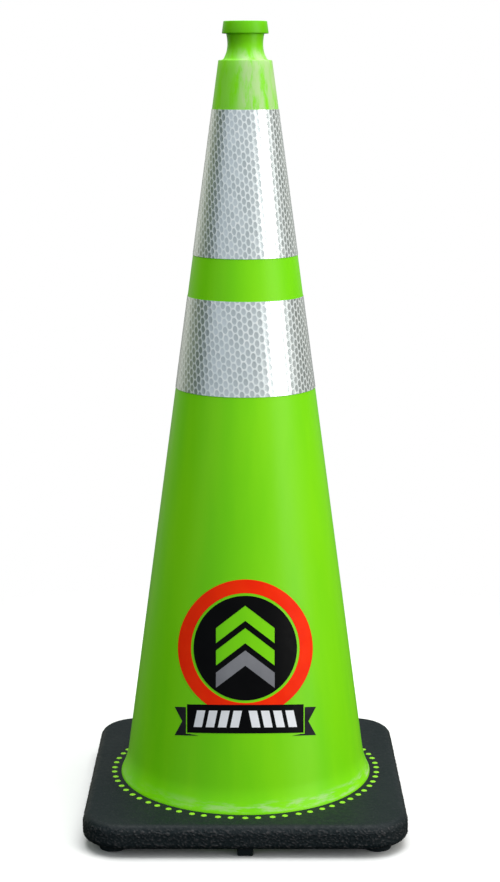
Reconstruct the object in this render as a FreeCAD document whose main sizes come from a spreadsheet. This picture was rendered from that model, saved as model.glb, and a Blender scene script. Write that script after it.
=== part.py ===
"""A 36 inch traffic cone: lime PVC cone in a black moulded base, two reflective collars and a vinyl emblem.

Millimetres, +Z up. The origin is on the floor under the cone's axis, and the emblem faces -Y.
"""

import FreeCAD, Part
import math
import os
import Sketcher

doc = FreeCAD.newDocument("TrafficCone")

# ---------------------------------------------------------------------------
# Driving dimensions
# ---------------------------------------------------------------------------

DIMENSIONS = {
    # overall: the base's side follows from the skirt's radius and the reaches and border below
    "height": 914.4,
    "skirt_radius": 143.7,
    "base_top": 38.0,
    "foot_height": 10.0,
    # cone wall: a straight taper from skirt_radius at the base's top face to the crown, then a flare
    "crown_radius": 24.4,
    "wall": 3.5,
    "flare_height": 30.0,
    "flare_reach": 5.3,
    # head: cap, grip neck with its waist, and shoulder; the mouth is a wall inside the waist
    "cap_height": 13.6,
    "neck_height": 29.0,
    "waist_drop": 25.4,
    "waist_radius": 20.0,
    "cap_root_reach": 1.4,
    "neck_root_reach": 5.3,
    # flange under the base, and the pegs that rise from it
    "flange_reach": 13.0,
    "flange_thickness": 4.0,
    "peg_ring_offset": 8.1,
    "peg_radius": 3.6,
    "peg_pairs": 32,
    "peg_pair_angle": 5.25,
    "moulding_gap": 0.1,
    # base slab and its feet: the border is what the slab adds outside the flange
    "base_border": 22.15,
    "base_corner_radius": 48.0,
    "base_top_round": 10.0,
    "base_bottom_round": 7.0,
    "side_foot_inset": 8.2,
    "side_foot_depth": 12.0,
    "side_foot_width": 18.0,
    "corner_foot_inset": 14.0,
    "corner_foot_length": 38.0,
    "corner_foot_width": 32.0,
    "foot_round": 2.0,
    # reflective collars, by the drop of their top edges from the crown and by their own heights
    "film_thickness": 0.45,
    "upper_collar_drop": 96.6,
    "upper_collar_height": 163.0,
    "collar_gap": 46.8,
    "lower_collar_height": 105.2,
    "lap_angle": 9.0,
    # vinyl emblem
    "vinyl_thickness": 0.25,
    "emblem_rise": 186.0,
    "emblem_tilt": 17.0,
    "ring_radius": 76.6,
    "ring_width": 15.2,
    "ring_to_disc_gap": 3.0,
    "chevron_width": 66.0,
    "chevron_rise": 25.0,
    "chevron_band": 17.0,
    "chevron_pitch": 25.0,
    "plate_width": 132.0,
    "plate_height": 32.0,
    "plate_drop": 79.4,
    "tail_gap": 1.4,
    "tail_width": 13.0,
    "tail_drop": 3.2,
    "tail_notch": 8.8,
    "bar_height": 18.8,
    "bar_width": 9.5,
    "bar_pitch": 13.8,
    "bar_slant": 4.0,
    "bars_each_side": 4,
}

sheet = doc.addObject("Spreadsheet::Sheet", "sizes")
for row, (alias, number) in enumerate(DIMENSIONS.items(), start=1):
    sheet.set(f"A{row}", alias)
    sheet.set(f"B{row}", str(number))
    sheet.setAlias(f"B{row}", alias)
doc.recompute()


def value(expression):
    """The number that an expression on the sheet gives now."""
    result = sheet.evalExpression(expression)
    return float(getattr(result, "Value", result))


# ---------------------------------------------------------------------------
# Expressions that several pieces share
# ---------------------------------------------------------------------------

TAPER = "((sizes.skirt_radius - sizes.crown_radius) / (sizes.height - sizes.base_top))"
FLARE_TOP = "(sizes.base_top + sizes.flare_height)"
FLANGE_TOP = "(sizes.foot_height + sizes.flange_thickness)"
FOOT_RADIUS = "(sizes.skirt_radius + sizes.flare_reach)"
FLANGE_RADIUS = f"({FOOT_RADIUS} + sizes.flange_reach)"
BASE_HALF = f"({FLANGE_RADIUS} + sizes.base_border)"
PEG_RING = f"({FOOT_RADIUS} + sizes.peg_ring_offset)"
CAP_BOTTOM = "(sizes.height - sizes.cap_height)"
LEDGE = "(sizes.height - sizes.cap_height - sizes.neck_height)"
WAIST = "(sizes.height - sizes.waist_drop)"
CAP_ROOT = "(sizes.waist_radius + sizes.cap_root_reach)"
NECK_ROOT = "(sizes.waist_radius + sizes.neck_root_reach)"
MOUTH = "(sizes.waist_radius - sizes.wall)"
ROOF = f"({LEDGE} - sizes.wall)"


def cone_radius(level):
    """The radius of the straight taper's outer surface at a level, as an expression."""
    return f"(sizes.crown_radius + (sizes.height - {level}) * {TAPER})"


# ---------------------------------------------------------------------------
# Modelling helpers
# ---------------------------------------------------------------------------


def new_body(label):
    body = doc.addObject("PartDesign::Body", label)
    body.Label = label
    return body


def origin_part(body, role):
    """A plane or axis of the body's own origin."""
    return next(item for item in body.Origin.OriginFeatures if item.Role == role)


def new_sketch(body, name, plane, level=None):
    """A sketch on one of the body's own planes, lifted off it by an expression if one is given."""
    sketch = body.newObject("Sketcher::SketchObject", name)
    sketch.AttachmentSupport = [(origin_part(body, plane), "")]
    sketch.MapMode = "FlatFace"
    if level:
        sketch.setExpression("AttachmentOffset.Base.z", level)
    return sketch


def bind(sketch, kind, geometry, point, expression):
    """Fixes a point's distance from the sketch's origin, along one direction, to an expression."""
    number = value(expression)
    index = sketch.addConstraint(Sketcher.Constraint(kind, -1, 1, geometry, point, number))
    sketch.setExpression(f"Constraints[{index}]", expression)


def pin(sketch, geometry, point, across, up):
    """Fixes a point of a sketch to two expressions."""
    bind(sketch, "DistanceX", geometry, point, across)
    bind(sketch, "DistanceY", geometry, point, up)


def straight_edges(sketch, corners, closed=True):
    """Draws straight edges through corners given as pairs of expressions, each corner pinned to them."""
    places = [FreeCAD.Vector(value(across), value(up), 0) for across, up in corners]
    ends = places[1:] + places[:1] if closed else places[1:]
    lines = [sketch.addGeometry(Part.LineSegment(a, b)) for a, b in zip(places, ends)]
    for line, following in zip(lines, lines[1:]):
        sketch.addConstraint(Sketcher.Constraint("Coincident", line, 2, following, 1))
    if closed:
        sketch.addConstraint(Sketcher.Constraint("Coincident", lines[-1], 2, lines[0], 1))
    for line, (across, up) in zip(lines, corners):
        pin(sketch, line, 1, across, up)
    if not closed:
        pin(sketch, lines[-1], 2, *corners[-1])
    return lines


def arc_about(sketch, centre, start, end):
    """Draws an arc, anticlockwise from start to end, about a centre; all three are plain points."""
    radius = start.distanceToPoint(centre)
    first = math.atan2(start.y - centre.y, start.x - centre.x)
    last = math.atan2(end.y - centre.y, end.x - centre.x)
    if last < first:
        last += 2 * math.pi
    circle = Part.Circle(centre, FreeCAD.Vector(0, 0, 1), radius)
    return sketch.addGeometry(Part.ArcOfCircle(circle, first, last))


def turn(body, kind, sketch, name, angle=None):
    """Turns a sketch about the body's upright axis: Revolution adds metal, Groove cuts it."""
    feature = body.newObject(f"PartDesign::{kind}", name)
    feature.Profile = sketch
    feature.ReferenceAxis = (sketch, ["V_Axis"])
    feature.Angle = 360
    if angle:
        feature.setExpression("Angle", angle)
    return feature


def repeat_round(body, features, count, name):
    """Repeats features evenly round the body's Z axis."""
    pattern = body.newObject("PartDesign::PolarPattern", name)
    pattern.Originals = features
    pattern.Axis = (origin_part(body, "Z_Axis"), [""])
    pattern.Angle = 360
    if isinstance(count, str):
        pattern.setExpression("Occurrences", count)
    else:
        pattern.Occurrences = count
    body.Tip = pattern
    return pattern


def edge_names(shape, wanted):
    """The names of the edges that a test picks out."""
    return [f"Edge{number}" for number, edge in enumerate(shape.Edges, start=1) if wanted(edge)]


def round_edges(body, feature, wanted, radius, name):
    """Fillets the edges that a test picks out of a feature."""
    doc.recompute()
    names = edge_names(feature.Shape, wanted)
    fillet = body.newObject("PartDesign::Fillet", name)
    fillet.Base = (feature, names)
    fillet.setExpression("Radius", radius)
    return fillet


def at_level(expression):
    """A test for edges that lie flat at a level."""
    level = value(expression)
    return lambda edge: (
        abs(edge.BoundBox.ZMin - level) < 1e-4 and abs(edge.BoundBox.ZMax - level) < 1e-4
    )


# ---------------------------------------------------------------------------
# Cone body
# ---------------------------------------------------------------------------


def skirt_profile(sketch, inset, bottom, top):
    """Half of the skirt's outline: spigot, flare tangent to the taper, taper, flat top.

    inset moves the outline in towards the axis, so that the hollow repeats it a wall inside.
    """
    foot = f"({FOOT_RADIUS} - {inset})"
    flare_start = f"({cone_radius(FLARE_TOP)} - {inset})"
    corners = [
        (flare_start, FLARE_TOP),
        (f"({cone_radius(top)} - {inset})", top),
        ("0", top),
        ("0", bottom),
        (foot, bottom),
        (foot, "sizes.base_top"),
    ]
    lines = straight_edges(sketch, corners, closed=False)
    # the flare's centre is on the normal to the taper at the flare's start
    start = FreeCAD.Vector(value(flare_start), value(FLARE_TOP), 0)
    end = FreeCAD.Vector(value(foot), value("sizes.base_top"), 0)
    slope = math.atan(value(TAPER))
    outward = FreeCAD.Vector(math.cos(slope), math.sin(slope), 0)
    chord = end.sub(start)
    radius = chord.Length**2 / (2 * chord.dot(outward))
    arc = arc_about(sketch, start + outward * radius, start, end)
    sketch.addConstraint(Sketcher.Constraint("Tangent", lines[0], 1, arc, 1))
    sketch.addConstraint(Sketcher.Constraint("Coincident", lines[-1], 2, arc, 2))


def neck_profile(sketch):
    """The groove between cap and shoulder: flat cap underside, waisted wall, flat ledge."""
    clear = f"({cone_radius(LEDGE)} + sizes.wall)"
    lines = straight_edges(
        sketch,
        [
            (CAP_ROOT, CAP_BOTTOM),
            (clear, CAP_BOTTOM),
            (clear, LEDGE),
            (NECK_ROOT, LEDGE),
        ],
        closed=False,
    )
    waist = FreeCAD.Vector(value("sizes.waist_radius"), value(WAIST), 0)
    arcs = []
    for radius, level in ((CAP_ROOT, CAP_BOTTOM), (NECK_ROOT, LEDGE)):
        end = FreeCAD.Vector(value(radius), value(level), 0)
        chord = end.sub(waist)
        centre = waist + FreeCAD.Vector(chord.Length**2 / (2 * chord.x), 0, 0)
        above = end.y > waist.y
        arcs.append(arc_about(sketch, centre, *((end, waist) if above else (waist, end))))
    upper, lower = arcs
    sketch.addConstraint(Sketcher.Constraint("Coincident", upper, 1, lines[0], 1))
    sketch.addConstraint(Sketcher.Constraint("Coincident", lower, 2, lines[-1], 2))
    sketch.addConstraint(Sketcher.Constraint("Coincident", upper, 2, lower, 1))
    pin(sketch, upper, 2, "sizes.waist_radius", WAIST)
    for arc in arcs:
        bind(sketch, "DistanceY", arc, 3, WAIST)


def rectangle(sketch, inner, outer, bottom, top):
    straight_edges(sketch, [(inner, bottom), (outer, bottom), (outer, top), (inner, top)])


def peg_circles(sketch, grow):
    """One pair of peg circles: the first straight in front of the cone, the second a step round."""
    radius = f"(sizes.peg_radius + {grow})"
    for turned in ("0", "sizes.peg_pair_angle"):
        across = f"({PEG_RING} * sin({turned} * 1deg))"
        along = f"(-{PEG_RING} * cos({turned} * 1deg))"
        centre = FreeCAD.Vector(value(across), value(along), 0)
        normal = FreeCAD.Vector(0, 0, 1)
        circle = sketch.addGeometry(Part.Circle(centre, normal, value(radius)))
        pin(sketch, circle, 3, across, along)
        index = sketch.addConstraint(Sketcher.Constraint("Radius", circle, value(radius)))
        sketch.setExpression(f"Constraints[{index}]", radius)


def make_cone_body():
    body = new_body("cone_body")

    outline = new_sketch(body, "skirt_outline", "XZ_Plane")
    skirt_profile(outline, "0", "sizes.foot_height", "sizes.height")
    turn(body, "Revolution", outline, "skirt")

    flange = new_sketch(body, "flange_outline", "XZ_Plane")
    rectangle(flange, f"({FOOT_RADIUS} - sizes.wall)", FLANGE_RADIUS, "sizes.foot_height", FLANGE_TOP)
    turn(body, "Revolution", flange, "flange")

    neck = new_sketch(body, "neck_outline", "XZ_Plane")
    neck_profile(neck)
    turn(body, "Groove", neck, "grip_neck")

    hollow = new_sketch(body, "hollow_outline", "XZ_Plane")
    skirt_profile(hollow, "sizes.wall", "0", ROOF)
    turn(body, "Groove", hollow, "stacking_hollow")

    mouth = new_sketch(body, "mouth_outline", "XZ_Plane")
    rectangle(mouth, "0", MOUTH, f"({ROOF} - sizes.wall)", "(sizes.height + sizes.wall)")
    turn(body, "Groove", mouth, "mouth")

    pair = new_sketch(body, "peg_pair", "XY_Plane", "sizes.foot_height")
    peg_circles(pair, "0")
    pegs = body.newObject("PartDesign::Pad", "pegs")
    pegs.Profile = pair
    pegs.setExpression("Length", "sizes.base_top - sizes.foot_height")
    doc.recompute()
    repeat_round(body, [pegs], "sizes.peg_pairs", "peg_ring")
    return body


# ---------------------------------------------------------------------------
# Base
# ---------------------------------------------------------------------------


def bore_out(body, name, radius, bottom, height):
    """Cuts a round hole on the axis."""
    hole = body.newObject("PartDesign::SubtractiveCylinder", name)
    hole.AttachmentSupport = [(origin_part(body, "XY_Plane"), "")]
    hole.MapMode = "FlatFace"
    hole.setExpression("AttachmentOffset.Base.z", bottom)
    hole.setExpression("Radius", radius)
    hole.setExpression("Height", height)
    return hole


def rounded_bar(sketch, middle, length, width):
    """A bar with round ends lying along +X, its middle at the given distance from the axis."""
    half = f"({width} / 2)"
    outer = f"({middle} + ({length} - {width}) / 2)"
    inner = f"({middle} - ({length} - {width}) / 2)"
    ends = [FreeCAD.Vector(value(x), 0, 0) for x in (outer, inner)]
    side = FreeCAD.Vector(0, value(half), 0)
    right = arc_about(sketch, ends[0], ends[0] - side, ends[0] + side)
    left = arc_about(sketch, ends[1], ends[1] + side, ends[1] - side)
    top = sketch.addGeometry(Part.LineSegment(ends[0] + side, ends[1] + side))
    bottom = sketch.addGeometry(Part.LineSegment(ends[1] - side, ends[0] - side))
    for first, second in ((right, top), (top, left), (left, bottom), (bottom, right)):
        sketch.addConstraint(Sketcher.Constraint("Tangent", first, 2, second, 1))
    pin(sketch, right, 3, outer, "0")
    pin(sketch, left, 3, inner, "0")
    index = sketch.addConstraint(Sketcher.Constraint("Radius", right, value(half)))
    sketch.setExpression(f"Constraints[{index}]", half)


def block_outline(sketch, outer, depth, width):
    """A plain block across the X axis, its outer face at the given distance from the axis."""
    corners = [
        (f"({outer} - {depth})", f"(-{width} / 2)"),
        (outer, f"(-{width} / 2)"),
        (outer, f"({width} / 2)"),
        (f"({outer} - {depth})", f"({width} / 2)"),
    ]
    straight_edges(sketch, corners)


def raise_foot(body, name, outline):
    """Pads a foot's outline up to the slab and repeats it on the base's four sides or corners."""
    foot = body.newObject("PartDesign::Pad", name)
    foot.Profile = outline
    foot.setExpression("Length", "sizes.foot_height")
    doc.recompute()
    return repeat_round(body, [foot], 4, f"{name}_ring")


def make_base():
    body = new_body("base")

    slab = body.newObject("PartDesign::AdditiveBox", "slab")
    slab.AttachmentSupport = [(origin_part(body, "XY_Plane"), "")]
    slab.MapMode = "FlatFace"
    slab.setExpression("Length", f"2 * {BASE_HALF}")
    slab.setExpression("Width", f"2 * {BASE_HALF}")
    slab.setExpression("Height", "sizes.base_top - sizes.foot_height")
    slab.setExpression("AttachmentOffset.Base.x", f"-{BASE_HALF}")
    slab.setExpression("AttachmentOffset.Base.y", f"-{BASE_HALF}")
    slab.setExpression("AttachmentOffset.Base.z", "sizes.foot_height")

    upright = value("sizes.base_top - sizes.foot_height")
    corners = round_edges(
        body,
        slab,
        lambda edge: abs(edge.BoundBox.ZLength - upright) < 1e-4,
        "sizes.base_corner_radius",
        "corners",
    )
    shoulder = round_edges(body, corners, at_level("sizes.base_top"), "sizes.base_top_round", "top_round")
    round_edges(body, shoulder, at_level("sizes.foot_height"), "sizes.base_bottom_round", "bottom_round")

    gap = "sizes.moulding_gap"
    bore_out(body, "centre_hole", f"{FOOT_RADIUS} + {gap}", "0", "sizes.base_top + sizes.foot_height")
    bore_out(body, "flange_rebate", f"{FLANGE_RADIUS} + {gap}", "0", f"{FLANGE_TOP} + {gap}")

    pair = new_sketch(body, "peg_hole_pair", "XY_Plane", "sizes.foot_height")
    peg_circles(pair, gap)
    holes = body.newObject("PartDesign::Pocket", "peg_holes")
    holes.Profile = pair
    holes.Reversed = True
    holes.setExpression("Length", "sizes.base_top")
    doc.recompute()
    repeat_round(body, [holes], "sizes.peg_pairs", "peg_hole_ring")
    return body


def make_base_feet():
    """The feet moulded on the slab: a block under each side and a stubby round-ended bar at each corner."""
    body = new_body("base_feet")
    body.AllowCompound = True

    side = new_sketch(body, "side_foot_outline", "XY_Plane")
    side_reach = f"({BASE_HALF} - sizes.side_foot_inset)"
    block_outline(side, side_reach, "sizes.side_foot_depth", "sizes.side_foot_width")
    raise_foot(body, "side_foot", side)

    corner = new_sketch(body, "corner_foot_outline", "XY_Plane")
    to_corner = FreeCAD.Rotation(FreeCAD.Vector(0, 0, 1), 45)
    corner.AttachmentOffset = FreeCAD.Placement(FreeCAD.Vector(), to_corner)
    corner_middle = (
        f"(({BASE_HALF} - sizes.base_corner_radius) * sqrt(2) + sizes.base_corner_radius"
        " - sizes.corner_foot_inset - sizes.corner_foot_length / 2)"
    )
    rounded_bar(corner, corner_middle, "sizes.corner_foot_length", "sizes.corner_foot_width")
    feet = raise_foot(body, "corner_foot", corner)

    rounded = round_edges(body, feet, at_level("0"), "sizes.foot_round", "foot_rounds")
    body.Tip = rounded
    return body


# ---------------------------------------------------------------------------
# Reflective collars
# ---------------------------------------------------------------------------


def sleeve_outline(sketch, bottom, top, inner, outer):
    """A thin slanted strip that lies on the taper, between two heights above its surface."""
    straight_edges(
        sketch,
        [
            (f"({cone_radius(bottom)} + {inner})", bottom),
            (f"({cone_radius(bottom)} + {outer})", bottom),
            (f"({cone_radius(top)} + {outer})", top),
            (f"({cone_radius(top)} + {inner})", top),
        ],
    )


def make_collar(label, top, bottom):
    """A sleeve of sheeting whose ends lap at the back of the cone."""
    body = new_body(label)
    film = "sizes.film_thickness"
    sleeve = new_sketch(body, f"{label}_outline", "XZ_Plane")
    sleeve_outline(sleeve, bottom, top, "0", film)
    turn(body, "Revolution", sleeve, f"{label}_sleeve")
    # the YZ plane's upright sketch faces the back of the cone, so the lap starts there
    lap = new_sketch(body, f"{label}_lap_outline", "YZ_Plane")
    sleeve_outline(lap, bottom, top, f"{film} / 2", f"2 * {film}")
    turn(body, "Revolution", lap, f"{label}_lap", "sizes.lap_angle")
    return body


# ---------------------------------------------------------------------------
# Vinyl emblem
# ---------------------------------------------------------------------------

# The artwork is drawn flat, on a plane that leans back to face someone standing in front of the
# cone, and each colour is what that drawing cuts out of a thin film on the taper.

TILT = math.radians(value("sizes.emblem_tilt"))
ART_ACROSS = FreeCAD.Vector(1, 0, 0)
ART_UP = FreeCAD.Vector(0, math.sin(TILT), math.cos(TILT))
ART_OUT = FreeCAD.Vector(0, -math.cos(TILT), math.sin(TILT))
ART_LEVEL = "(sizes.base_top + sizes.emblem_rise)"
ART_CENTRE = FreeCAD.Vector(0, -value(cone_radius(ART_LEVEL)), value(ART_LEVEL))
ART_REACH = value("sizes.ring_radius")


def art_point(across, up, out=0.0):
    return ART_CENTRE + ART_ACROSS * across + ART_UP * up + ART_OUT * out


def cutter(points):
    """A prism through the film with a straight-sided outline."""
    wire = Part.makePolygon([art_point(x, y, -ART_REACH) for x, y in [*points, points[0]]])
    return Part.Face(wire).extrude(ART_OUT * 2 * ART_REACH)


def round_cutter(radius):
    """A prism through the film with a round outline about the artwork's centre."""
    return Part.makeCylinder(radius, 2 * ART_REACH, art_point(0, 0, -ART_REACH), ART_OUT)


def film_blank():
    """Thin film on the front half of the taper, as tall as the artwork."""
    low = value(ART_LEVEL) - 2 * ART_REACH
    high = value(ART_LEVEL) + 2 * ART_REACH
    low = max(low, value(FLARE_TOP))
    film = value("sizes.vinyl_thickness")
    inner = [value(cone_radius(f"{level}")) for level in (low, high)]
    place = FreeCAD.Vector(0, 0, low)
    outside = Part.makeCone(inner[0] + film, inner[1] + film, high - low, place)
    shell = outside.cut(Part.makeCone(inner[0], inner[1], high - low, place))
    width = 4 * value("sizes.skirt_radius")
    front = Part.makeBox(width, width, high - low, FreeCAD.Vector(-width / 2, -width, low))
    return shell.common(front)


def chevron(apex):
    """An upward chevron band, its outer apex at the given height above the artwork's centre."""
    half = value("sizes.chevron_width") / 2
    rise = value("sizes.chevron_rise")
    band = value("sizes.chevron_band")
    return cutter(
        [
            (0, apex),
            (half, apex - rise),
            (half, apex - rise - band),
            (0, apex - band),
            (-half, apex - rise - band),
            (-half, apex - rise),
        ]
    )


def plate_box(height, drop):
    """The banner plate's corners, lower left first."""
    half = value("sizes.plate_width") / 2
    top = -value("sizes.plate_drop") + height / 2 - drop
    return half, top - height, top


def tail_outline(side):
    """A swallow-tail end beside the plate; side is 1 or -1."""
    half, bottom, top = plate_box(value("sizes.plate_height"), value("sizes.tail_drop"))
    inner = half + value("sizes.tail_gap")
    outer = inner + value("sizes.tail_width")
    notch = outer - value("sizes.tail_notch")
    middle = (bottom + top) / 2
    points = [(inner, bottom), (outer, bottom), (notch, middle), (outer, top), (inner, top)]
    return [(side * x, y) for x, y in points]


def fold_outline(side):
    """The dark fold where a tail turns behind the plate."""
    half, plate_bottom, _ = plate_box(value("sizes.plate_height"), 0)
    gap = value("sizes.tail_gap")
    low = plate_bottom - value("sizes.tail_drop")
    points = [
        (half + 1.5 * gap, low),
        (half + 1.5 * gap, plate_bottom - gap),
        (half - 2 * gap, plate_bottom - gap),
        (half - value("sizes.tail_width"), low),
    ]
    return [(side * x, y) for x, y in points]


def bar_outline(side, number):
    """One slanted bar of the banner, counted from the middle outwards."""
    half_height = value("sizes.bar_height") / 2
    slant = value("sizes.bar_slant") / 2
    middle = -value("sizes.plate_drop")
    centre = value("sizes.bar_pitch") * (number + 0.75)
    half = value("sizes.bar_width") / 2
    points = [
        (centre - half + slant, middle - half_height),
        (centre + half + slant, middle - half_height),
        (centre + half - slant, middle + half_height),
        (centre - half - slant, middle + half_height),
    ]
    return [(side * x, y) for x, y in points]


def make_emblem():
    """The emblem's six films, each a separate piece of vinyl, side by side on the cone."""
    blank = film_blank()
    half, bottom, top = plate_box(value("sizes.plate_height"), 0)
    plate = cutter([(-half, bottom), (half, bottom), (half, top), (-half, top)])
    ring_inner = value("sizes.ring_radius - sizes.ring_width")
    ring = round_cutter(value("sizes.ring_radius")).cut(round_cutter(ring_inner)).cut(plate)
    pitch = value("sizes.chevron_pitch")
    first_apex = 1.9 * pitch
    chevrons = [chevron(first_apex - number * pitch) for number in range(3)]
    disc = round_cutter(ring_inner - value("sizes.ring_to_disc_gap")).cut(chevrons)
    sides = (-1, 1)
    tails = [cutter(tail_outline(side)) for side in sides]
    folds = [cutter(fold_outline(side)) for side in sides]
    counts = range(int(value("sizes.bars_each_side")))
    bars = [cutter(bar_outline(side, number)) for side in sides for number in counts]

    cuts = {
        "emblem_ring": ring,
        "emblem_disc": disc,
        "emblem_chevron": chevrons[-1],
        "banner_plate": plate.cut(bars),
        "banner_tails": tails[0].fuse(tails[1:] + folds),
        "banner_bars": Part.Compound(bars),
    }
    films = []
    for label, prism in cuts.items():
        film = doc.addObject("Part::Feature", label)
        film.Label = label
        film.Shape = Part.Compound(blank.common(prism).Solids)
        film.Placement = FreeCAD.Placement()
        films.append(film)
    return films


# ---------------------------------------------------------------------------
# Assembly, checks and export
# ---------------------------------------------------------------------------

upper_top = "(sizes.height - sizes.upper_collar_drop)"
upper_bottom = f"({upper_top} - sizes.upper_collar_height)"
lower_top = f"({upper_bottom} - sizes.collar_gap)"
lower_bottom = f"({lower_top} - sizes.lower_collar_height)"

pieces = [
    make_cone_body(),
    make_base(),
    make_base_feet(),
    make_collar("upper_collar", upper_top, upper_bottom),
    make_collar("lower_collar", lower_top, lower_bottom),
    *make_emblem(),
]
doc.recompute()

failed = [item.Name for item in doc.Objects if {"Invalid", "Error"} & set(item.State)]
if failed:
    raise RuntimeError(f"these objects failed to compute: {failed}")
for piece in pieces:
    if piece.Shape.isNull() or not piece.Shape.isValid() or not piece.Shape.Solids:
        raise RuntimeError(f"{piece.Label} has no valid solid")

os.makedirs("parts", exist_ok=True)
for piece in pieces:
    piece.Shape.exportStep(f"parts/{piece.Label}.step")
    box = piece.Shape.BoundBox
    print(
        f"{piece.Label}: {len(piece.Shape.Solids)} solids, {piece.Shape.Volume / 1000:.1f} cm3,"
        f" {box.XLength:.1f} x {box.YLength:.1f} x {box.ZLength:.1f} mm from z {box.ZMin:.1f}"
    )
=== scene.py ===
# %% [markdown]
# # A traffic cone, finished over its CAD frame
# The cone's sizes, pieces and places are already settled in the imported CAD model. Loading it first
# gives a fixed frame to work around: metres, +Z up, the emblem facing -Y.

# %% Load the CAD frame
import math
import random

import bmesh
import bpy
from mathutils import Matrix, Vector, noise


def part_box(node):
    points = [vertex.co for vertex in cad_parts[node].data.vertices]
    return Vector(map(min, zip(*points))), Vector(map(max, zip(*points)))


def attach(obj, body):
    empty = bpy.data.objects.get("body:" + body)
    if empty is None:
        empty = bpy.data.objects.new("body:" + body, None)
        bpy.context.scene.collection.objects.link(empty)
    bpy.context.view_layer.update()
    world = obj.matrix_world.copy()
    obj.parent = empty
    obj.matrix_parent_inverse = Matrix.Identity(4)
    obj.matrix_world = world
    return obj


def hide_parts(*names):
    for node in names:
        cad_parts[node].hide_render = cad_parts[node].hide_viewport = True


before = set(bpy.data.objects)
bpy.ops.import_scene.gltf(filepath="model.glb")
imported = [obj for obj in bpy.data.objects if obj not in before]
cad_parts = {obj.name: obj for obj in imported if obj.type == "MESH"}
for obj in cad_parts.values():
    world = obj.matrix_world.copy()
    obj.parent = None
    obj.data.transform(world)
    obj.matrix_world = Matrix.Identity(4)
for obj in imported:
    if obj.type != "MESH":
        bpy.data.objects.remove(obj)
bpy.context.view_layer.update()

scene = bpy.context.scene

# %% [markdown]
# ## Camera
# The camera stands a little over two metres in front of the cone, just below the height of its
# head, and looks down by eleven degrees with a long lens. A long lens keeps the cone's straight
# sides straight and shows a little of the base's top, which is how such a product is usually shown.

# %% Set the camera
camera_data = bpy.data.cameras.new("camera")
camera_data.sensor_width = 36.0
camera_data.lens = 76.58
camera = bpy.data.objects.new("camera", camera_data)
camera.location = (0.0053, -2.1406, 0.8562)
camera.rotation_euler = (math.radians(78.94), 0, 0)
scene.collection.objects.link(camera)
scene.camera = camera
print("camera", tuple(round(x, 3) for x in camera.location))

# %% [markdown]
# ## Sizes
# Levels and outer radii are read from the CAD nodes' boxes. The few sizes that a box can't give,
# such as the wall, are named once in metres, here or where a piece first needs them, and the rest
# is worked out from them. The cone's side is a straight taper, so one function gives its radius.

# %% Read the levels and name the inner sizes
mm = 0.001
foot_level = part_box("base_feet")[0].z
slab_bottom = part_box("base")[0].z
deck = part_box("base")[1].z
base_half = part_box("base")[1].x
flange_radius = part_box("cone_body")[1].x
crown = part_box("cone_body")[1].z

wall = 3.5 * mm
crown_radius = 24.4 * mm
skirt_radius = 143.7 * mm
foot_radius = 149.0 * mm
flare_top = deck + 30 * mm
flange_top = slab_bottom + 4 * mm
cap_bottom = crown - 13.6 * mm
taper = (skirt_radius - crown_radius) / (crown - deck)
slope = math.atan(taper)


def side_radius(z):
    """The radius of the cone's outer surface on the straight taper."""
    return crown_radius + (crown - z) * taper


print(f"taper {math.degrees(slope):.2f} degrees, height {crown:.4f}, base {2 * base_half:.4f}")

# %% [markdown]
# ## Drawing a section with a pen
# Turned and swept pieces start as a thin line drawn in the XZ plane. It could be typed as a list
# of points, but a pen is easier to read: it goes straight to a point, or swings about a centre.
# A straight run is drawn by extruding its end vertex, and an arc by spinning it.

# %% Pen helpers
def line_to(bm, tip, x, z, steps=1):
    """Draws a straight run from the tip and gives the new tip."""
    start, end = tip.co.copy(), Vector((x, 0, z))
    for step in range(1, steps + 1):
        tip = bmesh.ops.extrude_vert_indiv(bm, verts=[tip])["verts"][0]
        tip.co = start.lerp(end, step / steps)
    return tip


def swing_to(bm, tip, centre, x, z, steps):
    """Draws the arc about a centre from the tip to the direction of a point, and gives the new tip."""
    start, end = tip.co - centre, Vector((x, 0, z)) - centre
    angle = math.atan2(start.cross(end).y, start.dot(end))
    swung = bmesh.ops.spin(
        bm, geom=[tip], cent=centre, axis=(0, 1, 0), angle=angle, steps=steps, use_merge=False
    )
    return next(item for item in swung["geom_last"] if isinstance(item, bmesh.types.BMVert))


def centre_beside(start, square_to, end):
    """The centre of the arc that leaves a point square to a direction and reaches another point."""
    chord = end - start
    return start + square_to * chord.length_squared / (2 * chord.dot(square_to))


def round_corners(bm, corners, radius, segments=4):
    """Rounds corners of a drawn line."""
    bmesh.ops.bevel(
        bm, geom=corners, offset=radius, segments=segments, profile=0.5,
        affect="VERTICES", material=-1,
    )


# %% [markdown]
# A finished bmesh becomes a piece through the helpers below. One closes the seams. Another smooths
# the shading except across sharp corners, hangs the piece on the body it rides on, gives it its
# materials and hides the CAD nodes it stands for.

# %% Turn a bmesh into a piece
def close_up(bm, gap=0.01 * mm):
    """Merges doubled vertices and turns every face outwards."""
    bmesh.ops.remove_doubles(bm, verts=bm.verts, dist=gap)
    bmesh.ops.recalc_face_normals(bm, faces=bm.faces)


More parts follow.
